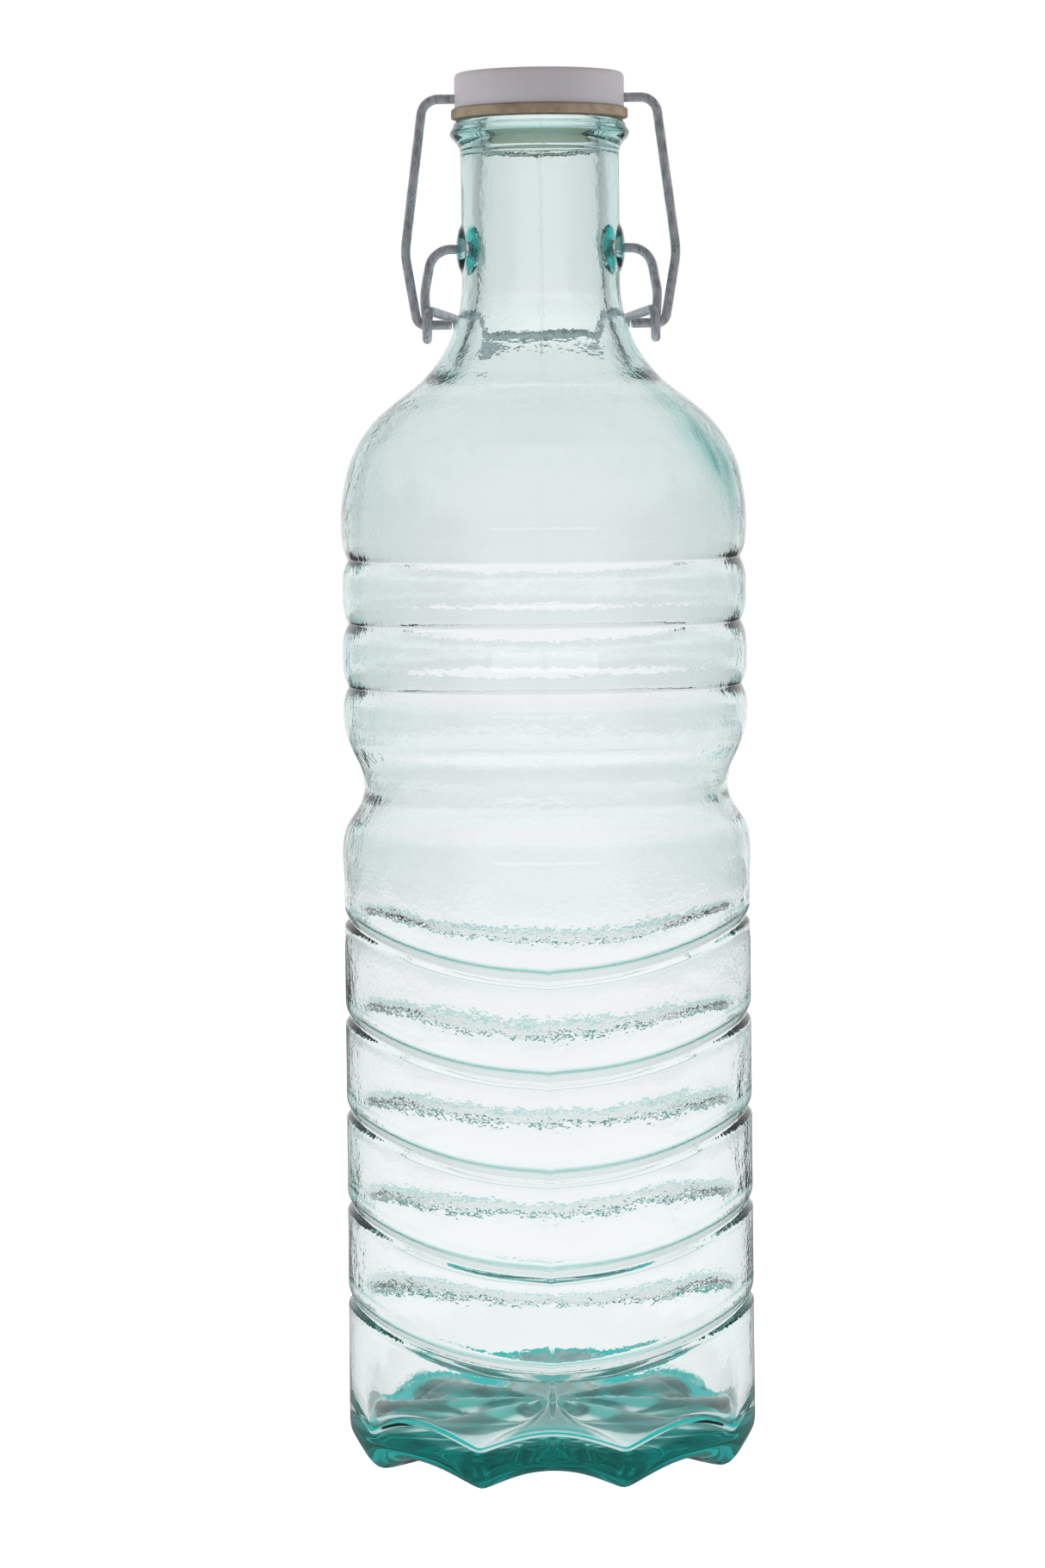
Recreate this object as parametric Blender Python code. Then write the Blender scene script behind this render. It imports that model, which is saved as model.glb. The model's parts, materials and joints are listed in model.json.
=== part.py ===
"""Swing top bottle: a ribbed glass bottle closed by a wired stopper.

Five pieces: the glass bottle, the stopper, its rubber gasket, the bail wire and the lever wire.
Metres, +Z up, the origin on the bottle's axis at the plane its feet stand on. The mould seams are at
-Y (front) and +Y (back), the wire bosses at -X and +X, and the lever's thumb bar is at the back.
"""
import math

import bmesh
import bpy
from mathutils import Vector

# --- the bottle's outside -------------------------------------------------------------------
BODY_R = 0.0484            # plain wall between the ribs
GROOVE_DEPTH = 0.0014
LOWER_GROOVES = [0.0387, 0.0613, 0.0836, 0.1062, 0.1294]    # heights at the sides of the bottle
UPPER_GROOVES = [0.1844 + 0.0150 * i for i in range(3)]
GROOVE_BELOW = 0.0019      # short return under a lower groove
GROOVE_ABOVE = 0.0036      # long slope over it
UPPER_REACH = 0.0035       # slope on each side of an upper groove
SEAM_DIP = 0.0105          # how far the lower grooves hang down at the two seams
UPPER_R = 0.0479           # ribs between the upper grooves
WAIST = [(0.1362, 0.0484), (0.1487, 0.0483), (0.1523, 0.0471), (0.1561, 0.0445), (0.1599, 0.0432),
         (0.1648, 0.0440), (0.1704, 0.0464), (0.1759, 0.0480)]
SHOULDER = [(0.2189, 0.0478), (0.2254, 0.0480), (0.2333, 0.0469), (0.2394, 0.0448), (0.2468, 0.0401),
            (0.2540, 0.0314), (0.2614, 0.0243), (0.2695, 0.0203), (0.2760, 0.0188)]
NECK_R = 0.0187
MOUTH_Z = 0.3175           # top of the lip
LIP = [(0.3101, 0.0187), (0.3121, 0.0196), (0.3143, 0.0212), (0.3161, 0.0205), (MOUTH_Z, 0.0189)]

# --- the bottle's inside --------------------------------------------------------------------
WALL = 0.0037
BORE_R = 0.0136            # the mouth
NECK_BORE_R = 0.0144
INSIDE = [(MOUTH_Z, 0.0149), (0.3162, BORE_R), (0.3076, 0.0138), (0.2761, NECK_BORE_R),
          (0.2676, 0.0161), (0.2591, 0.0203), (0.2522, 0.0271), (0.2453, 0.0357), (0.2373, 0.0409),
          (0.2264, UPPER_R - WALL), (0.1774, UPPER_R - WALL), (0.1684, 0.0422), (0.1600, 0.0396),
          (0.1543, 0.0418), (0.1472, BODY_R - WALL), (0.0200, BODY_R - WALL), (0.0158, 0.0438),
          (0.0138, 0.0415), (0.0132, 0.0370), (0.0130, 0.0120)]
FLOOR_Z = 0.0130           # inner floor at the axis

# --- the feet -------------------------------------------------------------------------------
FEET = 8
ARCH = 0.0048              # height of the arches between the feet
PAD_HALF_ANGLE = math.radians(2.0)
PAD_INNER_R = 0.0419
PAD_OUTER_R = 0.0437
HEEL = [(0.0, PAD_OUTER_R, 1.0), (0.0013, 0.0460, 0.75), (0.0042, 0.0479, 0.35), (0.0083, BODY_R, 0.0)]
UNDERSIDE = [(0.0052, 0.0120, 0.0), (0.0042, 0.0271, 0.25), (0.0016, 0.0389, 0.7), (0.0, PAD_INNER_R, 1.0)]
PUSH_UP_Z = 0.0055         # underside at the axis

# --- the bosses that carry the lever --------------------------------------------------------
PIVOT = Vector((0.0, 0.0, 0.2874))
BOSS_FACE_X = 0.0200
BOSS_BACK_X = 0.0162
BOSS_R = 0.0066
BOSS_TIP_R = 0.0056
HOLE_END_X = 0.0159

# --- the closure ----------------------------------------------------------------------------
GAP = 0.0003               # clearance between touching pieces
CAP_R = 0.0200
CAP_TOP = 0.3285
GASKET_R = 0.0209
GASKET_HOLE_R = 0.0121
GASKET_BOTTOM = MOUTH_Z + GAP
GASKET_TOP = 0.3201
CAP_BOTTOM = GASKET_TOP + GAP
PLUG_R = GASKET_HOLE_R - GAP
PLUG_BEAD_R = 0.0126       # bead that keeps the gasket on the plug
PLUG_BOTTOM = 0.3160
CROSS = Vector((0.0, 0.0, 0.3226))          # axis of the wire through the cap
STUB = Vector((0.0, -0.0025, 0.2696))       # axis of the bail's ends in the lever's eyes
WIRE_R = 0.00115
HOLE_R = WIRE_R + 0.00035
EYE_R = 0.0033             # the eye's centre line around the bail's end

# Right halves of the wires, as (corner, bend radius), from the middle of the object outwards.
BAIL_HALF = [((0.0, 0.0, CROSS.z), 0.0), ((0.0274, 0.0, CROSS.z), 0.0040),
             ((0.0320, -0.0017, 0.2864), 0.0160), ((0.0292, STUB.y, STUB.z), 0.0025),
             ((0.0211, STUB.y, STUB.z), 0.0)]
LEVER_HALF = [((0.0, 0.0245, 0.2651), 0.0), ((0.0195, 0.0245, 0.2651), 0.0032),
              ((0.0203, 0.0140, 0.2713), 0.0040),
              ((0.0266, STUB.y - EYE_R, STUB.z + EYE_R + 0.0001), 0.0024),
              ((0.0269, STUB.y - EYE_R, STUB.z - EYE_R), 0.0031),
              ((0.0270, STUB.y + EYE_R, STUB.z - EYE_R), 0.0031),
              ((0.0275, STUB.y + EYE_R, 0.2770), 0.0100),
              ((0.0256, 0.0, PIVOT.z), 0.0052), ((0.0163, 0.0, PIVOT.z), 0.0)]

TURNED_SEGMENTS = 40


def clear_scene():
    for old in list(bpy.data.objects):
        bpy.data.objects.remove(old, do_unlink=True)


def make_material(name, colour, roughness, metallic=0.0, transmission=0.0):
    material = bpy.data.materials.new(name)
    material.use_nodes = True
    shader = material.node_tree.nodes["Principled BSDF"]
    shader.inputs["Base Color"].default_value = (*colour, 1.0)
    shader.inputs["Roughness"].default_value = roughness
    shader.inputs["Metallic"].default_value = metallic
    shader.inputs["Transmission Weight"].default_value = transmission
    return material


def place(name, data, material, at=Vector(), parent=None):
    """Put data into the scene as an object whose origin is the world point at."""
    thing = bpy.data.objects.new(name, data)
    bpy.context.collection.objects.link(thing)
    data.materials.append(material)
    thing.location = at
    if parent is not None:
        thing.parent = parent
        thing.location = at - parent_origin(parent)
    return thing


def parent_origin(thing):
    """World origin of an unrotated chain of parents."""
    origin = thing.location.copy()
    while thing.parent is not None:
        thing = thing.parent
        origin += thing.location
    return origin


def loft(name, rings, bottom=None, top=None, closed=False):
    """Mesh through rings of points, ordered up the outside, with a centre point to close each end."""
    bm = bmesh.new()
    loops = [[bm.verts.new(p) for p in ring] for ring in rings]
    count = len(rings[0])
    pairs = list(zip(loops, loops[1:]))
    if closed:
        pairs.append((loops[-1], loops[0]))
    for low, high in pairs:
        for i in range(count):
            j = (i + 1) % count
            bm.faces.new((low[i], low[j], high[j], high[i]))
    if bottom is not None:
        centre = bm.verts.new(bottom)
        for i in range(count):
            bm.faces.new((centre, loops[0][(i + 1) % count], loops[0][i]))
    if top is not None:
        centre = bm.verts.new(top)
        for i in range(count):
            bm.faces.new((centre, loops[-1][i], loops[-1][(i + 1) % count]))
    mesh = bpy.data.meshes.new(name)
    bm.to_mesh(mesh)
    bm.free()
    mesh.shade_smooth()
    mesh.set_sharp_from_angle(angle=math.radians(35))
    return mesh


def cylinder_along_x(name, x_from, x_to, r_from, r_to, z, sides):
    """Hidden guide for a Boolean: a cylinder or cone along X."""
    rings = []
    for x, r in ((x_from, r_from), (x_to, r_to)):
        turns = [2 * math.pi * i / sides for i in range(sides)]
        rings.append([Vector((x, r * math.cos(a), z + r * math.sin(a))) for a in turns])
    ends = [Vector((x, 0.0, z)) for x in (x_from, x_to)]
    mesh = loft(name, rings, bottom=ends[0], top=ends[1])
    guide = bpy.data.objects.new(name, mesh)
    bpy.context.collection.objects.link(guide)
    guide.hide_render = True
    guide.display_type = "WIRE"
    return guide


def add_boolean(thing, guide, operation):
    modifier = thing.modifiers.new(guide.name, "BOOLEAN")
    modifier.operation = operation
    modifier.solver = "EXACT"
    modifier.object = guide


# --- glass bottle ---------------------------------------------------------------------------
def bottle_angles():
    """Angles from the front seam: a narrow pad on each foot and three points over each arch."""
    period = 2 * math.pi / FEET
    inside = [period * k / 4 for k in (1, 2, 3)]
    offsets = [-PAD_HALF_ANGLE, PAD_HALF_ANGLE] + inside
    return [period * (foot + 0.5) + offset for foot in range(FEET) for offset in offsets]


def arch_height(angle):
    """Height of the scalloped rim: nought over a foot's pad, ARCH midway between two feet."""
    clear = math.sin(FEET / 2 * PAD_HALF_ANGLE)
    return ARCH * max(0.0, (abs(math.cos(FEET / 2 * angle)) - clear) / (1 - clear))


def dip_weight(z):
    """How much of the seam dip a height takes: all through the lower grooves, none above or below."""
    start, full, last, end = HEEL[-1][0], 0.0300, WAIST[0][0], WAIST[1][0]
    if z < full:
        return max(0.0, (z - start) / (full - start))
    return min(1.0, max(0.0, (end - z) / (end - last)))


def around(angle, r, z):
    return Vector((r * math.sin(angle), -r * math.cos(angle), z))


def bottle_outline():
    outline = []
    for z in LOWER_GROOVES:
        outline += [(z - GROOVE_BELOW, BODY_R), (z, BODY_R - GROOVE_DEPTH), (z + GROOVE_ABOVE, BODY_R)]
    outline += WAIST
    for z in UPPER_GROOVES:
        outline += [(z - UPPER_REACH, UPPER_R), (z, UPPER_R - GROOVE_DEPTH), (z + UPPER_REACH, UPPER_R)]
    return outline + SHOULDER + LIP


def make_bottle(material):
    angles = bottle_angles()
    rings = []
    for z, r, arch in UNDERSIDE + HEEL:
        rings.append([around(a, r, z + arch * arch_height(a)) for a in angles])
    for z, r in bottle_outline():
        dips = [SEAM_DIP * dip_weight(z) * math.cos(a) ** 2 for a in angles]
        rings.append([around(a, r, z - dip) for a, dip in zip(angles, dips)])
    for z, r in INSIDE:
        rings.append([around(a, r, z) for a in angles])
    mesh = loft("glass_bottle", rings, bottom=Vector((0, 0, PUSH_UP_Z)), top=Vector((0, 0, FLOOR_Z)))
    bottle = place("glass_bottle", mesh, material)
    for side, label in ((-1, "left"), (1, "right")):
        ends = sorted(((side * BOSS_BACK_X, BOSS_R), (side * BOSS_FACE_X, BOSS_TIP_R)))
        boss = cylinder_along_x(f"boss_{label}", ends[0][0], ends[1][0], ends[0][1], ends[1][1],
                                PIVOT.z, 20)
        add_boolean(bottle, boss, "UNION")
        mouths = sorted((side * HOLE_END_X, side * (BOSS_FACE_X + 0.001)))
        hole = cylinder_along_x(f"boss_hole_{label}", mouths[0], mouths[1], HOLE_R, HOLE_R, PIVOT.z, 12)
        add_boolean(bottle, hole, "DIFFERENCE")
    return bottle


# --- stopper and gasket ---------------------------------------------------------------------
def turned_rings(outline, origin):
    """Rings of a turned piece, relative to origin, from (z, r) points."""
    turns = [2 * math.pi * i / TURNED_SEGMENTS for i in range(TURNED_SEGMENTS)]
    return [[Vector((r * math.cos(a), r * math.sin(a), z)) - origin for a in turns] for z, r in outline]


def make_stopper(material, parent):
    outline = [(PLUG_BOTTOM, 0.0112), (PLUG_BOTTOM + 0.0005, 0.0122), (PLUG_BOTTOM + 0.0010, PLUG_BEAD_R),
               (PLUG_BOTTOM + 0.0014, 0.0124), (PLUG_BOTTOM + 0.0017, PLUG_R), (CAP_BOTTOM, PLUG_R),
               (CAP_BOTTOM, CAP_R - 0.0006), (CAP_BOTTOM + 0.0006, CAP_R), (CAP_TOP - 0.0015, CAP_R),
               (CAP_TOP - 0.0005, CAP_R - 0.0005), (CAP_TOP, CAP_R - 0.0016)]
    rings = turned_rings(outline, CROSS)
    mesh = loft("stopper", rings, bottom=Vector((0, 0, PLUG_BOTTOM)) - CROSS,
                top=Vector((0, 0, CAP_TOP)) - CROSS)
    stopper = place("stopper", mesh, material, CROSS, parent)
    hole = cylinder_along_x("cap_hole", -CAP_R - 0.002, CAP_R + 0.002, HOLE_R, HOLE_R, CROSS.z, 12)
    add_boolean(stopper, hole, "DIFFERENCE")
    return stopper


def make_gasket(material, parent):
    round_r = 0.0005
    outline = [(GASKET_BOTTOM, GASKET_HOLE_R), (GASKET_BOTTOM, GASKET_R - round_r),
               (GASKET_BOTTOM + round_r, GASKET_R), (GASKET_TOP - round_r, GASKET_R),
               (GASKET_TOP, GASKET_R - round_r), (GASKET_TOP, GASKET_HOLE_R)]
    mesh = loft("gasket", turned_rings(outline, CROSS), closed=True)
    return place("gasket", mesh, material, CROSS, parent)


# --- wires ----------------------------------------------------------------------------------
def bend_points(before, corner, after, radius, most_turn=math.radians(22)):
    """Points of the arc that rounds a corner with the given radius."""
    back = (before - corner).normalized()
    ahead = (after - corner).normalized()
    half = back.angle(ahead) / 2
    turn = math.pi - 2 * half
    reach = radius / math.tan(half)
    centre = corner + (back + ahead).normalized() * (radius / math.sin(half))
    start = corner + back * reach - centre
    finish = corner + ahead * reach - centre
    steps = max(2, math.ceil(turn / most_turn))
    return [centre + start.slerp(finish, k / steps) * radius for k in range(steps + 1)]


def wire_route(half):
    """Centre line of a whole wire: the right half, rounded, with its mirror image before it."""
    corners = [Vector(point) for point, _ in half]
    corners.insert(0, Vector((-corners[1].x, corners[1].y, corners[1].z)))
    route = []
    for i in range(2, len(corners) - 1):
        before, corner, after = corners[i - 1], corners[i], corners[i + 1]
        route += bend_points(before, corner, after, half[i - 1][1])
    route.append(corners[-1])
    mirrored = [Vector((-p.x, p.y, p.z)) for p in reversed(route)]
    return mirrored + route


def make_wire(name, half, origin, material, parent):
    curve = bpy.data.curves.new(name, "CURVE")
    curve.dimensions = "3D"
    curve.bevel_depth = WIRE_R
    curve.bevel_resolution = 2
    curve.render_resolution_u = 0
    curve.use_fill_caps = True
    route = wire_route(half)
    spline = curve.splines.new("POLY")
    spline.points.add(len(route) - 1)
    for point, position in zip(spline.points, route):
        point.co = (*(position - origin), 1.0)
    return place(name, curve, material, origin, parent)


def main():
    clear_scene()
    glass = make_material("glass", (0.62, 0.80, 0.78), 0.05, transmission=0.8)
    plastic = make_material("white_plastic", (0.66, 0.64, 0.67), 0.35)
    rubber = make_material("rubber", (0.50, 0.43, 0.36), 0.7)
    steel = make_material("galvanised_steel", (0.45, 0.47, 0.50), 0.4, metallic=1.0)
    bottle = make_bottle(glass)
    lever = make_wire("lever_wire", LEVER_HALF, PIVOT, steel, bottle)
    bail = make_wire("bail_wire", BAIL_HALF, STUB, steel, lever)
    stopper = make_stopper(plastic, bail)
    make_gasket(rubber, stopper)


main()
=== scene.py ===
"""Looks of the swing top bottle: recycled glass, wired stopper, studio floor, light and camera.

Metres, in the frame's own axes: +Z up, the bottle's axis at x = y = 0, the front mould seam at -Y.
"""

import json
import math

import bmesh
import bpy
import numpy as np
from mathutils import Matrix, Vector, noise


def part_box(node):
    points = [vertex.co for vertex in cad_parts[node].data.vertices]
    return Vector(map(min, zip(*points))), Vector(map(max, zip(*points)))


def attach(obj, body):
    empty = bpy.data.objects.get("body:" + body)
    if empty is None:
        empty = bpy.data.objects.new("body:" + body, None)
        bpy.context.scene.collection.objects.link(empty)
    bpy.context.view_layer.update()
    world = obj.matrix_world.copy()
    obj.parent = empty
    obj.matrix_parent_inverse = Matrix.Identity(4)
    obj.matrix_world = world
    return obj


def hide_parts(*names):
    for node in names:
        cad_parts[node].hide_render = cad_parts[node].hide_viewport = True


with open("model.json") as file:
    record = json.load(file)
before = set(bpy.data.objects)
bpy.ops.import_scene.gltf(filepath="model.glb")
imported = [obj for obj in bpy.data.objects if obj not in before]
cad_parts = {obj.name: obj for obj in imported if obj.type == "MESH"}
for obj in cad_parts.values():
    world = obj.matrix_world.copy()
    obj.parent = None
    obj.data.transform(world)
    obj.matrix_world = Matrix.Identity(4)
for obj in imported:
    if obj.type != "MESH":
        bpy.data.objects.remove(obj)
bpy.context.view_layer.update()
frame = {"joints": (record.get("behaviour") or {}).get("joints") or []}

# --- sizes taken from the frame -------------------------------------------------------------
JOINTS = {joint["name"]: joint for joint in frame["joints"]}
PIVOT = Vector(JOINTS["lever_pivot"]["pos_m"])
STUB = Vector(JOINTS["bail_pivot"]["pos_m"])
CROSS = Vector(JOINTS["stopper_pivot"]["pos_m"])
MOUTH_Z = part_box("glass_bottle")[1].z
GASKET_LOW, GASKET_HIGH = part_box("gasket")
STOPPER_LOW, STOPPER_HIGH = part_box("stopper")
CAP_SEAT = 0.00005                  # the cap sits this far above the gasket

# --- glass outline: heights and radii -------------------------------------------------------
GROOVE_DEPTH = 0.0014
LOWER_GROOVES = [0.0387, 0.0613, 0.0836, 0.1062, 0.1294]
UPPER_GROOVES = [0.1844 + 0.0150 * i for i in range(3)]
LOWER_REACH = (0.0019, 0.0036)      # how far a lower groove reaches below and above its notch
UPPER_REACH = (0.0050, 0.0050)
SEAM_DIP = 0.0105                   # how far the grooves sink at the two mould seams
SEAM_RIDGE = 0.00018                # height of the flash line at a seam
SEAM_RIDGE_SPREAD = math.radians(0.32)
NECK_R = 0.0187
OUTLINE = [(0.0097, 0.0486), (0.0307, 0.0485), (0.1362, 0.0483), (0.1455, 0.0486), (0.1487, 0.0483),
           (0.1512, 0.0476), (0.1536, 0.0461), (0.1561, 0.0445), (0.1585, 0.0435), (0.1603, 0.0432),
           (0.1634, 0.0436), (0.1659, 0.0443), (0.1683, 0.0455), (0.1709, 0.0466), (0.1733, 0.0474),
           (0.1774, 0.0480), (0.2184, 0.0478), (0.2224, 0.0480), (0.2273, 0.0478), (0.2321, 0.0471),
           (0.2370, 0.0459), (0.2419, 0.0436), (0.2468, 0.0401), (0.2516, 0.0347), (0.2565, 0.0284),
           (0.2614, 0.0243), (0.2670, 0.0212), (0.2743, 0.0191), (0.2780, NECK_R), (0.3070, NECK_R),
           (0.3102, 0.0188), (0.3114, 0.0192), (0.3125, 0.0200), (0.3134, 0.0208), (0.3143, 0.0212),
           (0.3150, 0.0210), (0.3159, 0.0204), (0.3165, 0.0203), (0.3171, 0.0198)]
LIP_TOP = [(0.0192, MOUTH_Z - 0.00015), (0.0185, MOUTH_Z), (0.0157, MOUTH_Z), (0.0146, MOUTH_Z - 0.00015),
           (0.0139, MOUTH_Z - 0.0007)]
BORE_R = 0.0136
LEDGE_Z = 0.3110                    # where the neck opens out a little below the mouth
INSIDE = [(0.0225, 0.0446), (0.1450, 0.0449), (0.1503, 0.0440), (0.1553, 0.0415), (0.1603, 0.0397),
          (0.1663, 0.0405), (0.1724, 0.0434), (0.1774, 0.0442), (0.2224, 0.0442), (0.2313, 0.0431),
          (0.2383, 0.0409), (0.2452, 0.0362), (0.2522, 0.0276), (0.2581, 0.0211), (0.2651, 0.0169),
          (0.2761, 0.0147), (0.2918, 0.0142), (0.3102, 0.0140), (0.3114, BORE_R), (0.3162, BORE_R)]
INNER_IMPRINT = 0.0005              # how much a groove shows on the inside
INNER_WAVES = [(0.00030, 38.0, 1), (0.00007, 150.0, 2), (0.000035, 420.0, 3)]   # height, scale, noise shift

# --- feet and base: radius, height over a foot, share of the scallop -------------------------
FEET = 8
ARCH = 0.0048
UNDERSIDE = [(0.0010, 0.0060, 0.0), (0.0030, 0.0059, 0.06), (0.0060, 0.0052, 0.22), (0.0120, 0.0038, 0.55),
             (0.0200, 0.0027, 0.80), (0.0281, 0.0018, 0.95), (0.0343, 0.0010, 1.0), (0.0384, 0.0004, 1.0),
             (0.0407, 0.0001, 1.0), (0.0419, 0.0000, 1.0)]
HEEL = [(0.0429, 0.0000, 1.0), (0.0437, 0.0001, 1.0), (0.0451, 0.0008, 0.90), (0.0466, 0.0023, 0.70),
        (0.0477, 0.0045, 0.40), (0.0484, 0.0070, 0.12), (0.0486, 0.0095, 0.0)]
FLOOR_SCALLOP = 0.0043
FLOOR = [(0.0446, 0.0190, 0.20), (0.0446, 0.0150, 0.50), (0.0445, 0.0120, 0.85), (0.0441, 0.0103, 1.0),
         (0.0432, 0.0091, 1.0), (0.0418, 0.0085, 1.0), (0.0380, 0.0084, 1.0), (0.0320, 0.0086, 1.0),
         (0.0240, 0.0091, 0.97), (0.0150, 0.0101, 0.80), (0.0070, 0.0119, 0.35), (0.0030, 0.0130, 0.08),
         (0.0010, 0.0132, 0.0)]
PAINTED_HEEL_SHADE_Z = 0.0080                # painted shade: the heel's deep teal is painted into the glass colour up to here over a foot
UNDERSIDE_TOP = 0.0061
FLOOR_TOP = 0.0132

# --- darker slanted streak on the shoulder; painted shade at the lip, the lower grooves and the sides ---
STREAK_ANGLE = math.radians(57)     # from the front seam towards +X, at the top of the streak
STREAK_Z = 0.2400
STREAK_LEAN = math.radians(850)     # turn towards the side per metre of fall
STREAK_SPREAD = math.radians(9)
STREAK_HEIGHT = 0.0130
# painted shade: a darker band of glass colour round the lip
PAINTED_LIP_SHADE = 0.30
PAINTED_GROOVE_SHADE = [(0.0024, 0.75, 0.0005), (-0.0017, 0.12, 0.0004)]    # painted shade lines above and below each lower groove: height over a notch, strength, spread
PAINTED_SIDE_SHADE = 0.07                    # painted shade: slightly deeper colour towards the sides of the upper part

# --- bosses ---------------------------------------------------------------------------------
BOSS_FACE_X = 0.0200
BOSS_R = 0.0067
BOSS_FLAT_R = 0.0046
HOLE_R = 0.00150
BOSS_HOLE_R = 0.00190               # wider, so that its sloping wall clears the wire's end
HOLE_END_X = 0.0159

SEGMENTS = 288
NOISE_SHIFT = Vector((3.1, 7.7, 1.3))


def spline(points, per_span):
    """Catmull-Rom curve through points of any dimension, per_span steps between two of them."""
    p = np.array(points, float)
    p = np.vstack([2 * p[0] - p[1], p, 2 * p[-1] - p[-2]])
    out = []
    for a, b, c, d in zip(p, p[1:], p[2:], p[3:]):
        for k in range(per_span):
            t = k / per_span
            out.append(0.5 * (2 * b + (c - a) * t + (2 * a - 5 * b + 4 * c - d) * t * t
                              + (3 * b - a - 3 * c + d) * t ** 3))
    out.append(p[-2])
    return np.array(out)


def smooth_radius(points, heights):
    """Radius at the given heights on a monotone cubic through (height, radius) points."""
    z = np.array([q[0] for q in points])
    r = np.array([q[1] for q in points])
    step = np.diff(z)
    slope = np.diff(r) / step
    tangent = np.zeros(len(z))
    same = slope[:-1] * slope[1:] > 0
    w1 = 2 * step[1:] + step[:-1]
    w2 = step[1:] + 2 * step[:-1]
    with np.errstate(divide="ignore", invalid="ignore"):
        mean = (w1 + w2) / (w1 / slope[:-1] + w2 / slope[1:])
    tangent[1:-1] = np.where(same, mean, 0.0)
    i = np.clip(np.searchsorted(z, heights) - 1, 0, len(step) - 1)
    t = (heights - z[i]) / step[i]
    h = step[i]
    return (r[i] * (1 + 2 * t) * (1 - t) ** 2 + tangent[i] * h * t * (1 - t) ** 2
            + r[i + 1] * t * t * (3 - 2 * t) + tangent[i + 1] * h * t * t * (t - 1))


def smoothstep(low, high, value):
    t = np.clip((value - low) / (high - low), 0.0, 1.0)
    return t * t * (3 - 2 * t)


def groove_profile(heights, notch, reach):
    """Depth share of a groove: 1 at the notch, 0 where it runs out below and above."""
    u = heights - notch
    below = np.clip(1 + u / reach[0], 0, 1) ** 2
    above = np.clip(1 - u / reach[1], 0, 1) ** 2
    return np.where(u < 0, below, above)


def groove_depths(heights, blur=None):
    """Summed groove depth at the given side heights; blur widens each groove for the inside."""
    depth = np.zeros_like(heights)
    for notches, reach in ((LOWER_GROOVES, LOWER_REACH), (UPPER_GROOVES, UPPER_REACH)):
        for notch in notches:
            if blur is None:
                depth += GROOVE_DEPTH * groove_profile(heights, notch, reach)
            else:
                depth += INNER_IMPRINT * np.exp(-((heights - notch - 0.0008) / blur) ** 2)
    return depth


def dip_weight(heights, start=0.010):
    """Share of the seam dip: none near the base, none above the waist."""
    return smoothstep(start, start + 0.020, heights) * (1 - smoothstep(0.1352, 0.1483, heights))


def scallop(angles):
    """0 over a foot, 1 midway between two feet, with a slightly rounded tip."""
    soft = 0.10
    return (np.sqrt(np.cos(FEET / 2 * angles) ** 2 + soft ** 2) - soft) / (math.sqrt(1 + soft ** 2) - soft)


def bottle_angles():
    """Even angles from the front seam, with extra columns where the two mould seams stand."""
    even = np.arange(SEGMENTS) * 2 * math.pi / SEGMENTS
    near = np.radians([-0.55, -0.25, 0.25, 0.55])
    extra = np.concatenate([near, near + math.pi])
    return np.unique(np.round(np.concatenate([even, extra]) % (2 * math.pi), 9))


def ring_heights(low, high, coarse, fine, spots):
    """Heights from low to high, fine within the given spots and coarse elsewhere."""
    heights = [low]
    while heights[-1] < high:
        z = heights[-1]
        near = any(start <= z <= end for start, end in spots)
        heights.append(z + (fine if near else coarse))
    heights[-1] = high
    return np.array(heights)


def field(points, scale, shift):
    """Smooth noise, about -1 to 1, at an array of points."""
    offset = NOISE_SHIFT * shift
    flat = points.reshape(-1, 3)
    values = [noise.noise(Vector(p) * scale + offset) for p in flat]
    return np.array(values).reshape(points.shape[:-1])


def to_points(angles, radius, height):
    return np.stack([radius * np.sin(angles), -radius * np.cos(angles), height], axis=-1)


def boss_radius(angles, heights, neck):
    """Neck radius with the two wire bosses and their blind holes raised on it, and the bosses' share, used as
    painted shade.
    """
    radius = neck.copy()
    share = np.zeros_like(neck)
    for side in (-1, 1):
        across = np.angle(np.exp(1j * (angles - side * math.pi / 2)))
        spread = np.hypot(neck * np.sin(across), heights - PIVOT.z)
        facing = np.abs(across) < 0.6
        cosine = np.cos(np.clip(across, -0.6, 0.6))
        face = (BOSS_FACE_X - 0.0016 * (spread / BOSS_R) ** 2) / cosine
        lift = 1 - smoothstep(BOSS_FLAT_R, BOSS_R, spread)
        raised = radius + lift * np.maximum(face - radius, 0)
        hole = (HOLE_END_X / cosine - raised) * (spread < BOSS_HOLE_R)
        radius = np.where(facing, raised + hole, radius)
        share = np.where(facing, np.maximum(share, lift), share)
    return radius, share


def shoulder_streak(angles, level):
    """Tint of the slanted darker streak on the shoulder."""
    if abs(level[0] - STREAK_Z) > 3 * STREAK_HEIGHT:
        return np.zeros_like(angles)
    middle = STREAK_ANGLE + STREAK_LEAN * np.maximum(STREAK_Z + 0.004 - level, 0)
    off = np.angle(np.exp(1j * (angles - middle)))
    points = to_points(angles, np.full_like(angles, 0.045), level)
    ragged = 0.75 + 0.5 * field(points * [1, 1, 0.5], 260.0, 8)
    return ragged * np.exp(-(off / STREAK_SPREAD) ** 2 - ((level - STREAK_Z) / STREAK_HEIGHT) ** 2)


def seam_ridge(angles):
    """Height of the thin flash line at the two mould seams, and the angle from the nearer seam."""
    off = np.minimum(np.abs(np.angle(np.exp(1j * angles))), np.abs(np.angle(np.exp(1j * (angles - math.pi)))))
    return SEAM_RIDGE * np.exp(-(off / SEAM_RIDGE_SPREAD) ** 2), off


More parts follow.
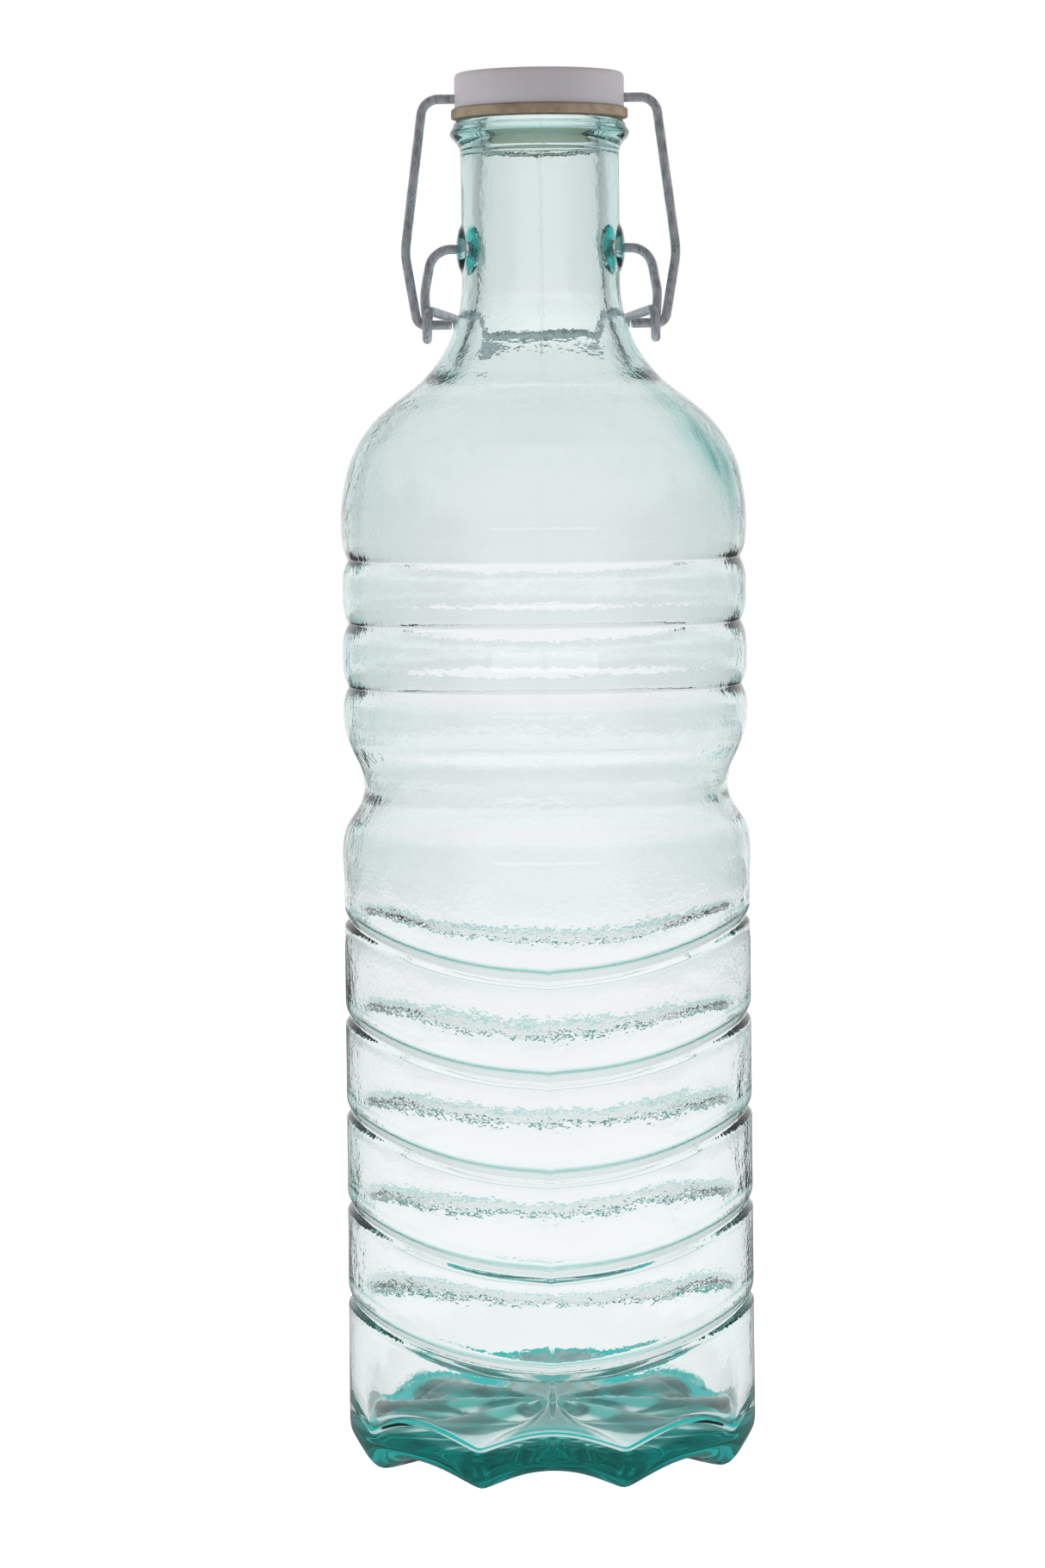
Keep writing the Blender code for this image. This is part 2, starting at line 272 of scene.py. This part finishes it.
def make_bottle_mesh():
    angles = bottle_angles()
    ridge, off_seam = seam_ridge(angles)
    around = scallop(angles)
    arches = smoothstep(0.40, 0.68, around)
    dip = SEAM_DIP * np.cos(angles) ** 2 + 0.0004 * np.exp(-off_seam / 0.05)
    # the 'depth' layer carries painted shade for the glass colour
    rings, layers = [], {"rippled": [], "depth": [], "frost": []}

    def add(points, rippled, depth=0.0, frost=0.0):
        rings.append(points)
        for key, value in (("rippled", rippled), ("depth", depth), ("frost", frost)):
            layers[key].append(np.zeros_like(angles) + value)

    for r, z, share in spline(UNDERSIDE + HEEL, 4):
        # painted shade: the underside and heel are painted deep teal, most in the arches and at the rim
        rim = smoothstep(0.0395, 0.0420, r)
        painted_heel_shade = 0.4 * arches * (1 - rim) + 0.5 * rim + 0.5 * smoothstep(0.0425, 0.0437, r)
        add(to_points(angles, np.full_like(angles, r), z + ARCH * share * around), 0.0, painted_heel_shade)

    spots = [(z - 0.0024, z + 0.0040) for z in LOWER_GROOVES]
    spots += [(z - 0.0052, z + 0.0052) for z in UPPER_GROOVES]
    spots += [(PIVOT.z - 0.008, PIVOT.z + 0.008), (0.3090, MOUTH_Z)]
    heights = ring_heights(OUTLINE[0][0] + 0.0006, OUTLINE[-1][0], 0.0009, 0.00032, spots)
    radii = smooth_radius(OUTLINE, heights) - groove_depths(heights)
    for z, r, weight in zip(heights, radii, dip_weight(heights)):
        level = z - dip * weight
        radius = np.full_like(angles, r)
        # painted shade: the outer wall below the heel line is painted deep teal
        tint = 1 - smoothstep(-0.0008, 0.0008, level - PAINTED_HEEL_SHADE_Z - FLOOR_SCALLOP * around)
        # painted shade: near the bosses the tint becomes the bosses' share, painting them deep teal
        if abs(z - PIVOT.z) < 0.009:
            radius, tint = boss_radius(angles, level, radius)
        # painted shade: a dark line above and a faint one below each lower groove
        for notch in LOWER_GROOVES:
            for above, strength, spread in PAINTED_GROOVE_SHADE:
                tint = tint + strength * math.exp(-((z - notch - above) / spread) ** 2)
        # painted shade: darker band round the lip
        tint = tint + PAINTED_LIP_SHADE * smoothstep(0.3115, 0.3135, z) * (1 - smoothstep(0.3155, 0.3168, z))
        tint = tint + shoulder_streak(angles, level)
        # painted shade: deeper towards the sides
        tint = tint + PAINTED_SIDE_SHADE * np.sin(angles) ** 4 * smoothstep(0.13, 0.15, z)
        add(to_points(angles, radius + ridge * (1 - smoothstep(0.3105, 0.3135, z)), level), 0.0, tint)
    for r, z in spline(LIP_TOP, 3):
        add(to_points(angles, np.full_like(angles, r), np.full_like(angles, z)), 0.0)

    heights = ring_heights(INSIDE[0][0], INSIDE[-1][0], 0.0012, 0.0005, [(0.3085, MOUTH_Z)])[::-1]
    radii = smooth_radius(INSIDE, heights) - groove_depths(heights, blur=0.0030)
    for z, r, weight in zip(heights, radii, dip_weight(heights, INSIDE[0][0])):
        level = z - dip * weight
        points = to_points(angles, np.full_like(angles, r), level)
        wave = sum(height * field(points, scale, shift) for height, scale, shift in INNER_WAVES)
        ledge = 0.00030 * np.exp(-((level - LEDGE_Z - 0.0005 * field(points, 60.0, 4)) / 0.0006) ** 2)
        calm = smoothstep(0.3162, 0.3120, z) * (0.25 + 0.75 * smoothstep(0.024, 0.045, z))
        add(to_points(angles, r + wave * calm - ledge, level), 0.3 + 0.7 * smoothstep(0.024, 0.040, z))
    for r, z, share in spline(FLOOR, 5):
        points = to_points(angles, np.full_like(angles, r), z + FLOOR_SCALLOP * share * around)
        wave = 0.00005 * field(points, 60.0, 5) * smoothstep(0.004, 0.012, r)
        points[..., 2] += wave
        # painted shade: a dark star over the arches of the inner floor, carried in the depth attribute
        painted_star_shade = 0.985 * arches * smoothstep(0.002, 0.012, r) * (1 - smoothstep(0.0405, 0.0430, r))
        add(points, 0.15, painted_star_shade, 1 - smoothstep(0.0405, 0.0425, r))

    return loft("bottle_glass", rings, Vector((0, 0, UNDERSIDE_TOP)), Vector((0, 0, FLOOR_TOP)), layers)


def loft(name, rings, first=None, last=None, layers=None):
    """Closed mesh through rings of points; first and last are centre points, or None to join the ends."""
    count = len(rings[0])
    points = np.concatenate([np.asarray(ring) for ring in rings])
    faces = []
    loops = [np.arange(count) + k * count for k in range(len(rings))]
    pairs = list(zip(loops, loops[1:]))
    if first is None:
        pairs.append((loops[-1], loops[0]))
    for low, high in pairs:
        nxt_low, nxt_high = np.roll(low, -1), np.roll(high, -1)
        faces += np.stack([low, nxt_low, nxt_high, high], axis=1).tolist()
    if first is not None:
        start, end = len(points), len(points) + 1
        points = np.vstack([points, [first], [last]])
        faces += [[start, int(b), int(a)] for a, b in zip(loops[0], np.roll(loops[0], -1))]
        faces += [[end, int(a), int(b)] for a, b in zip(loops[-1], np.roll(loops[-1], -1))]
    mesh = bpy.data.meshes.new(name)
    mesh.from_pydata(points.tolist(), [], faces)
    for key, rows in (layers or {}).items():
        values = np.concatenate(rows + [rows[0][:1], rows[-1][:1]]).astype(np.float32)
        layer = mesh.attributes.new(key, "FLOAT", "POINT")
        layer.data.foreach_set("value", values)
    mesh.shade_smooth()
    mesh.validate()
    return mesh


def add_piece(name, mesh, material, body, node):
    thing = bpy.data.objects.new(name, mesh)
    bpy.context.scene.collection.objects.link(thing)
    mesh.materials.append(material)
    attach(thing, body)
    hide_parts(node)
    return thing


# --- materials ------------------------------------------------------------------------------
class Nodes:
    """Short way to build a material's node tree."""

    def __init__(self, name):
        self.material = bpy.data.materials.new(name)
        self.material.use_nodes = True
        self.tree = self.material.node_tree
        self.shader = self.tree.nodes["Principled BSDF"]
        self.output = self.tree.nodes["Material Output"]

    def add(self, kind, **settings):
        node = self.tree.nodes.new(kind)
        for key, value in settings.items():
            setattr(node, key, value)
        return node

    def link(self, source, target):
        self.tree.links.new(source, target)

    def set(self, **values):
        for key, value in values.items():
            self.shader.inputs[key.replace("_", " ")].default_value = value

    def noise(self, scale, detail=2.0, stretch=(1, 1, 1), rough=0.5):
        where = self.add("ShaderNodeTexCoord")
        mapping = self.add("ShaderNodeMapping")
        mapping.inputs["Scale"].default_value = stretch
        texture = self.add("ShaderNodeTexNoise")
        texture.inputs["Scale"].default_value = scale
        texture.inputs["Detail"].default_value = detail
        texture.inputs["Roughness"].default_value = rough
        self.link(where.outputs["Object"], mapping.inputs["Vector"])
        self.link(mapping.outputs["Vector"], texture.inputs["Vector"])
        return texture.outputs["Fac"]

    def ramp(self, value, stops):
        node = self.add("ShaderNodeValToRGB")
        while len(node.color_ramp.elements) < len(stops):
            node.color_ramp.elements.new(0.5)
        for element, (place, colour) in zip(node.color_ramp.elements, stops):
            element.position = place
            element.color = (*colour, 1.0)
        self.link(value, node.inputs["Fac"])
        return node.outputs["Color"]

    def math(self, operation, a, b):
        node = self.add("ShaderNodeMath", operation=operation)
        for socket, value in zip(node.inputs, (a, b)):
            if isinstance(value, (int, float)):
                socket.default_value = value
            else:
                self.link(value, socket)
        return node.outputs["Value"]

    def bump(self, height, distance, strength=1.0, before=None):
        node = self.add("ShaderNodeBump")
        node.inputs["Distance"].default_value = distance
        node.inputs["Strength"].default_value = strength
        self.link(height, node.inputs["Height"])
        if before is not None:
            self.link(before, node.inputs["Normal"])
        return node.outputs["Normal"]


def glass_material():
    m = Nodes("recycled_glass")
    m.set(IOR=1.52, Transmission_Weight=1.0)
    rippled, depth, frost = [m.add("ShaderNodeAttribute", attribute_name=name).outputs["Fac"]
                             for name in ("rippled", "depth", "frost")]
    # painted shade: the 'depth' attribute darkens the glass colour from clear to deep teal
    tint = m.ramp(depth, [(0.0, (0.985, 0.99, 0.99)), (0.5, (0.42, 0.74, 0.72)),
                          (1.0, (0.0001, 0.28, 0.255))])
    m.link(tint, m.shader.inputs["Base Color"])
    m.link(m.math("MULTIPLY", frost, 0.18), m.shader.inputs["Roughness"])
    peel = m.math("MULTIPLY", m.noise(850.0, 1.0), rippled)
    inner = m.bump(peel, 0.000045)
    skin = m.bump(m.noise(95.0, 3.0, rough=0.6), 0.000055, before=inner)
    m.link(skin, m.shader.inputs["Normal"])
    absorb = m.add("ShaderNodeVolumeAbsorption")
    absorb.inputs["Color"].default_value = (0.17, 0.70, 0.67, 1.0)
    absorb.inputs["Density"].default_value = 24.0
    m.link(absorb.outputs["Volume"], m.output.inputs["Volume"])
    return m.material


def stopper_material():
    m = Nodes("milky_plastic")
    m.set(Roughness=0.42, IOR=1.49, Subsurface_Weight=0.25, Subsurface_Scale=0.004)
    tint = m.ramp(m.noise(60.0, 3.0), [(0.30, (0.53, 0.52, 0.555)), (0.70, (0.58, 0.57, 0.605))])
    height = m.add("ShaderNodeSeparateXYZ")
    m.link(m.add("ShaderNodeTexCoord").outputs["Object"], height.inputs["Vector"])
    # painted light: below the gasket the plug is given a paler, greener colour, standing in for light that
    # reaches it through the glass
    plug_painted_light = m.add("ShaderNodeMix", data_type="RGBA")
    plug_painted_light.inputs["B"].default_value = (0.64, 0.77, 0.60, 1.0)
    m.link(m.math("LESS_THAN", height.outputs["Z"], GASKET_LOW.z), plug_painted_light.inputs["Factor"])
    m.link(tint, plug_painted_light.inputs["A"])
    m.link(plug_painted_light.outputs["Result"], m.shader.inputs["Base Color"])
    fine = m.bump(m.noise(2600.0, 2.0), 0.000015)
    m.link(m.bump(m.noise(220.0, 2.0), 0.00004, before=fine), m.shader.inputs["Normal"])
    return m.material


def rubber_material():
    m = Nodes("beige_rubber")
    m.set(Roughness=0.75)
    blotch = m.ramp(m.noise(170.0, 5.0, rough=0.65), [(0.30, (0.25, 0.19, 0.13)), (0.52, (0.36, 0.29, 0.21)),
                                                      (0.75, (0.44, 0.37, 0.29))])
    m.link(blotch, m.shader.inputs["Base Color"])
    m.link(m.bump(m.noise(1500.0, 4.0, rough=0.7), 0.00008), m.shader.inputs["Normal"])
    return m.material


def wire_material():
    m = Nodes("galvanised_wire")
    m.set(Metallic=0.85)
    spangle = m.noise(900.0, 4.0, (1, 1, 0.35), 0.65)
    pits = m.noise(2400.0, 2.0)
    tone = m.ramp(spangle, [(0.32, (0.38, 0.40, 0.45)), (0.50, (0.67, 0.70, 0.76)),
                            (0.72, (0.84, 0.88, 0.94))])
    spots = m.ramp(pits, [(0.30, (0.25, 0.25, 0.25)), (0.38, (1.0, 1.0, 1.0))])
    mix = m.add("ShaderNodeMix", data_type="RGBA", blend_type="MULTIPLY")
    mix.inputs["Factor"].default_value = 0.8
    m.link(tone, mix.inputs["A"])
    m.link(spots, mix.inputs["B"])
    m.link(mix.outputs["Result"], m.shader.inputs["Base Color"])
    m.link(m.math("ADD", m.math("MULTIPLY", spangle, 0.35), 0.22), m.shader.inputs["Roughness"])
    m.link(m.bump(spangle, 0.00012, before=m.bump(pits, 0.00005)), m.shader.inputs["Normal"])
    return m.material


# --- turned pieces --------------------------------------------------------------------------
TURNED_SEGMENTS = 160


def turned(name, outline, first=None, last=None, wobble=None):
    """Turned mesh from (radius, height) points, up the outside; wobble(points) shifts heights."""
    angles = np.arange(TURNED_SEGMENTS) * 2 * math.pi / TURNED_SEGMENTS
    rings = []
    for r, z in outline:
        ring = np.stack([r * np.cos(angles), r * np.sin(angles), np.full_like(angles, z)], axis=-1)
        if wobble is not None:
            ring = wobble(ring)
        rings.append(ring)
    return loft(name, rings, first, last)


def rounded(corners, steps=5):
    """(radius, height) points of an outline whose corners, (radius, height, rounding), are rounded."""
    points = []
    for i, (r, z, size) in enumerate(corners):
        here = Vector((r, z))
        if size == 0:
            points.append((r, z))
            continue
        before = (Vector(corners[i - 1][:2]) - here).normalized()
        after = (Vector(corners[(i + 1) % len(corners)][:2]) - here).normalized()
        start, end = here + before * size, here + after * size
        for k in range(steps + 1):
            t = k / steps
            p = start * (1 - t) ** 2 + here * 2 * t * (1 - t) + end * t * t
            points.append((p.x, p.y))
    return points


def make_stopper():
    cap_r = STOPPER_HIGH.x
    top = STOPPER_HIGH.z
    low = STOPPER_LOW.z
    cap_low = GASKET_HIGH.z + CAP_SEAT
    plug_r = 0.0118
    corners = [(0.0108, low, 0.0), (0.0123, low, 0.0004), (0.0127, low + 0.0009, 0.0003),
               (plug_r, low + 0.0016, 0.0002), (plug_r, cap_low, 0.0), (cap_r, cap_low, 0.0003),
               (cap_r, top, 0.0014), (cap_r - 0.0026, top, 0.0), (cap_r - 0.0032, top - 0.0003, 0.0002),
               (0.0040, top - 0.0003, 0.0), (0.0022, top - 0.0004, 0.0)]
    mesh = turned("stopper_cap", rounded(corners), Vector((0, 0, low)), Vector((0, 0, top - 0.0005)))
    cut = bmesh.new()
    turn = Matrix.Translation(CROSS) @ Matrix.Rotation(math.pi / 2, 4, "Y")
    bmesh.ops.create_cone(cut, cap_ends=True, segments=32, radius1=HOLE_R, radius2=HOLE_R,
                          depth=0.06, matrix=turn)
    cutter_mesh = bpy.data.meshes.new("cross_hole")
    cut.to_mesh(cutter_mesh)
    cut.free()
    cutter = bpy.data.objects.new("cross_hole", cutter_mesh)
    bpy.context.scene.collection.objects.link(cutter)
    cap = bpy.data.objects.new("stopper_cap", mesh)
    bpy.context.scene.collection.objects.link(cap)
    modifier = cap.modifiers.new("hole", "BOOLEAN")
    modifier.operation = "DIFFERENCE"
    modifier.object = cutter
    bpy.context.view_layer.update()
    final = bpy.data.meshes.new_from_object(cap.evaluated_get(bpy.context.evaluated_depsgraph_get()))
    bpy.data.objects.remove(cap)
    bpy.data.objects.remove(cutter)
    final.set_sharp_from_angle(angle=math.radians(40))
    add_piece("stopper_cap", final, stopper_material(), "closure", "stopper")


def make_gasket():
    inner = 0.0121
    outer = GASKET_HIGH.x
    low, high = GASKET_LOW.z, GASKET_HIGH.z
    corners = [(inner, low, 0.0002), (outer, low, 0.0004), (outer, high, 0.0006), (inner, high, 0.0002)]

    def wobble(ring):
        shrink = 1 - 0.008 * (0.5 + 0.5 * field(ring, 90.0, 6))
        ring[..., 0] *= shrink
        ring[..., 1] *= shrink
        return ring

    points = rounded(corners)
    flat = [((inner + outer) / 2, low)]
    mesh = turned("rubber_ring", points[:6] + flat + points[6:], wobble=wobble)
    mesh.set_sharp_from_angle(angle=math.radians(50))
    add_piece("rubber_ring", mesh, rubber_material(), "closure", "gasket")


# --- wires ----------------------------------------------------------------------------------
WIRE_R = 0.00115
EYE_R = 0.0033
WIRE_SIDES = 20
WIRE_DENT = 0.00006                 # the visible wire is dented by up to this, so it is drawn slightly thinner
WIRE_THINNER = 0.00003
WIRE_END = [(0.0, 0.72), (0.00018, 0.92), (0.00045, 1.0)]    # distance from a cut end, share of the radius
BAIL_HALF = [((0.0, 0.0, CROSS.z), 0.0), ((0.0274, 0.0, CROSS.z), 0.0040),
             ((0.0320, -0.0017, 0.2864), 0.0160), ((0.0292, STUB.y, STUB.z), 0.0025),
             ((0.0211, STUB.y, STUB.z), 0.0)]
LEVER_HALF = [((0.0, 0.0245, 0.2651), 0.0), ((0.0195, 0.0245, 0.2651), 0.0032),
              ((0.0203, 0.0140, 0.2713), 0.0040),
              ((0.0266, STUB.y - EYE_R, STUB.z + EYE_R + 0.0001), 0.0024),
              ((0.0269, STUB.y - EYE_R, STUB.z - EYE_R), 0.0031),
              ((0.0270, STUB.y + EYE_R, STUB.z - EYE_R), 0.0031),
              ((0.0275, STUB.y + EYE_R, 0.2770), 0.0100),
              ((0.0256, 0.0, PIVOT.z), 0.0052), ((0.0163, 0.0, PIVOT.z), 0.0)]


def bend_points(before, corner, after, radius):
    """Points of the arc that rounds a corner with the given radius."""
    back = (before - corner).normalized()
    ahead = (after - corner).normalized()
    half = back.angle(ahead) / 2
    reach = radius / math.tan(half)
    centre = corner + (back + ahead).normalized() * (radius / math.sin(half))
    start = corner + back * reach - centre
    finish = corner + ahead * reach - centre
    steps = max(3, math.ceil((math.pi - 2 * half) / math.radians(9)))
    return [centre + start.slerp(finish, k / steps) * radius for k in range(steps + 1)]


def wire_route(half):
    """Centre line of a whole wire, evenly walked between its bends."""
    corners = [Vector(point) for point, _ in half]
    corners.insert(0, Vector((-corners[1].x, corners[1].y, corners[1].z)))
    route = []
    for i in range(2, len(corners) - 1):
        route += bend_points(corners[i - 1], corners[i], corners[i + 1], half[i - 1][1])
    route.append(corners[-1])
    whole = [Vector((-p.x, p.y, p.z)) for p in reversed(route)] + route
    walked = [whole[0]]
    for a, b in zip(whole, whole[1:]):
        steps = max(1, round((b - a).length / 0.0012))
        walked += [a.lerp(b, k / steps) for k in range(1, steps + 1)]
    return walked


def make_wire(name, half, body, node, material):
    route = wire_route(half)
    tangents = [(route[min(i + 1, len(route) - 1)] - route[max(i - 1, 0)]).normalized()
                for i in range(len(route))]
    side = tangents[0].orthogonal().normalized()
    frames = []
    for tangent in tangents:
        side = (side - tangent * side.dot(tangent)).normalized()
        frames.append((side.copy(), tangent.cross(side)))
    turns = [2 * math.pi * k / WIRE_SIDES for k in range(WIRE_SIDES)]
    rings = []

    def ring(centre, axes, size, key):
        points = []
        for a in turns:
            out = axes[0] * math.cos(a) + axes[1] * math.sin(a)
            dent = WIRE_DENT * noise.noise((centre + out * 0.001) * 260 + NOISE_SHIFT * key)
            points.append(centre + out * (WIRE_R * size - WIRE_THINNER + dent))
        return np.array(points)

    for ahead, size in WIRE_END:
        rings.append(ring(route[0] + tangents[0] * ahead, frames[0], size, 7))
    for centre, axes in zip(route[1:-1], frames[1:-1]):
        rings.append(ring(centre, axes, 1.0, 7))
    for ahead, size in reversed(WIRE_END):
        rings.append(ring(route[-1] - tangents[-1] * ahead, frames[-1], size, 7))
    mesh = loft(name, rings, route[0], route[-1])
    mesh.set_sharp_from_angle(angle=math.radians(50))
    add_piece(name, mesh, material, body, node)


# --- stage ----------------------------------------------------------------------------------
# Panel brightness by direction along Y: 0 behind the camera, 0.5 at the sides, 1 behind the object.
PANEL_STOPS = [(0.0, 0.16), (0.50, 0.25), (0.65, 0.32), (0.85, 0.55), (0.95, 0.86), (1.0, 0.92)]
FRONT_PANEL = 0.80                  # brightness behind the camera, for rays that leave the glass
CAMERA_PLACE = (0.0, -1.118, 0.2382)
CAMERA_LENS = 108.2
CAMERA_TURN, CAMERA_TILT, CAMERA_ROLL = 0.288, 3.96, -0.61    # degrees; the tilt is downwards


def make_floor():
    mesh = bpy.data.meshes.new("studio_floor")
    size = 1.2
    mesh.from_pydata([(-size, -size, 0), (size, -size, 0), (size, size, 0), (-size, size, 0)], [],
                     [(0, 1, 2, 3)])
    floor = bpy.data.objects.new("studio_floor", mesh)
    bpy.context.scene.collection.objects.link(floor)
    floor.location.z = -0.0002
    m = Nodes("pale_floor")
    m.set(Base_Color=(0.30, 0.29, 0.29, 1), Roughness=0.9, Emission_Color=(1, 0.92, 0.93, 1))
    path = m.add("ShaderNodeLightPath")
    level = m.math("ADD", m.math("MULTIPLY", path.outputs["Is Camera Ray"], 0.20), 0.97)
    mirrored = m.math("SUBTRACT", path.outputs["Is Glossy Ray"], path.outputs["Is Transmission Ray"])
    dimmed = m.math("SUBTRACT", level, m.math("MULTIPLY", m.math("MAXIMUM", mirrored, 0.0), 0.88))
    m.link(dimmed, m.shader.inputs["Emission Strength"])
    m.shader.inputs["Specular IOR Level"].default_value = 0.0
    mesh.materials.append(m.material)


def make_world():
    """Bright panel behind the object, dim at the sides, and a front panel seen only through glass."""
    world = bpy.data.worlds.new("studio")
    bpy.context.scene.world = world
    world.use_nodes = True
    tree = world.node_tree
    background = tree.nodes["Background"]
    where = tree.nodes.new("ShaderNodeTexCoord")
    split = tree.nodes.new("ShaderNodeSeparateXYZ")
    level = tree.nodes.new("ShaderNodeValToRGB")
    level.color_ramp.interpolation = "EASE"
    while len(level.color_ramp.elements) < len(PANEL_STOPS):
        level.color_ramp.elements.new(0.5)
    for element, (place, value) in zip(level.color_ramp.elements, PANEL_STOPS):
        element.position = place
        element.color = (value, value * 0.99, value * 0.985, 1.0)
    half = tree.nodes.new("ShaderNodeMath")
    half.operation = "MULTIPLY_ADD"
    half.inputs[1].default_value = 0.5
    half.inputs[2].default_value = 0.5
    falling = tree.nodes.new("ShaderNodeMapRange")
    for key, value in (("From Min", -0.11), ("From Max", 0.0), ("To Min", 1.15), ("To Max", 1.0)):
        falling.inputs[key].default_value = value
    path = tree.nodes.new("ShaderNodeLightPath")
    front = tree.nodes.new("ShaderNodeMapRange")
    front.interpolation_type = "SMOOTHSTEP"
    for key, value in (("From Min", 0.08), ("From Max", 0.32), ("To Min", 1.0), ("To Max", 0.0)):
        front.inputs[key].default_value = value
    through = tree.nodes.new("ShaderNodeMath")
    through.operation = "MULTIPLY"
    fill = tree.nodes.new("ShaderNodeMix")
    fill.data_type = "RGBA"
    fill.inputs["B"].default_value = (FRONT_PANEL, FRONT_PANEL, FRONT_PANEL, 1.0)
    mix = tree.nodes.new("ShaderNodeMix")
    mix.data_type = "RGBA"
    mix.inputs["B"].default_value = (1.03, 1.03, 1.03, 1.0)
    links = tree.links
    links.new(where.outputs["Generated"], split.inputs["Vector"])
    links.new(split.outputs["Y"], half.inputs[0])
    links.new(split.outputs["Z"], falling.inputs["Value"])
    links.new(falling.outputs["Result"], background.inputs["Strength"])
    links.new(half.outputs["Value"], level.inputs["Fac"])
    links.new(half.outputs["Value"], front.inputs["Value"])
    links.new(front.outputs["Result"], through.inputs[0])
    links.new(path.outputs["Is Transmission Ray"], through.inputs[1])
    links.new(through.outputs["Value"], fill.inputs["Factor"])
    links.new(level.outputs["Color"], fill.inputs["A"])
    links.new(fill.outputs["Result"], mix.inputs["A"])
    links.new(path.outputs["Is Camera Ray"], mix.inputs["Factor"])
    links.new(mix.outputs["Result"], background.inputs["Color"])


def make_light(name, place, aim, size, power, glossy=False):
    data = bpy.data.lights.new(name, "AREA")
    data.shape = "RECTANGLE"
    data.size, data.size_y = size
    data.energy = power
    light = bpy.data.objects.new(name, data)
    bpy.context.scene.collection.objects.link(light)
    light.location = place
    light.visible_transmission = False
    light.visible_glossy = glossy
    light.visible_diffuse = not glossy
    light.rotation_euler = (Vector(aim) - Vector(place)).to_track_quat("-Z", "Y").to_euler()


def make_camera():
    data = bpy.data.cameras.new("camera")
    data.sensor_width = 36.0
    data.sensor_fit = "AUTO"
    data.lens = CAMERA_LENS
    camera = bpy.data.objects.new("camera", data)
    bpy.context.scene.collection.objects.link(camera)
    camera.location = CAMERA_PLACE
    turn = Matrix.Rotation(math.radians(CAMERA_TURN), 4, "Z")
    pitch = Matrix.Rotation(math.radians(90 - CAMERA_TILT), 4, "X")
    roll = Matrix.Rotation(math.radians(CAMERA_ROLL), 4, "Z")
    camera.rotation_euler = (turn @ pitch @ roll).to_euler()
    bpy.context.scene.camera = camera


def main():
    scene = bpy.context.scene
    scene.view_settings.view_transform = "Standard"
    scene.cycles.max_bounces = 20
    scene.cycles.transmission_bounces = 20
    scene.cycles.glossy_bounces = 12
    make_camera()
    make_world()
    make_light("overhead", (0.0, -0.15, 1.3), (0.0, 0.0, 0.2), (0.9, 0.6), 1.5)
    for side in (-1, 1):
        make_light("side_fill", (side * 0.8, -0.25, 0.45), (0.0, 0.0, 0.31), (0.5, 0.5), 2.2)
    make_light("front_strip", (0.0, -1.25, 0.15), (0.0, 0.0, 0.19), (1.4, 0.05), 0.3, glossy=True)
    make_floor()
    add_piece("bottle_glass", make_bottle_mesh(), glass_material(), "bottle", "glass_bottle")
    make_stopper()
    make_gasket()
    metal = wire_material()
    make_wire("bail", BAIL_HALF, "bail", "bail_wire", metal)
    make_wire("lever", LEVER_HALF, "lever", "lever_wire", metal)


main()
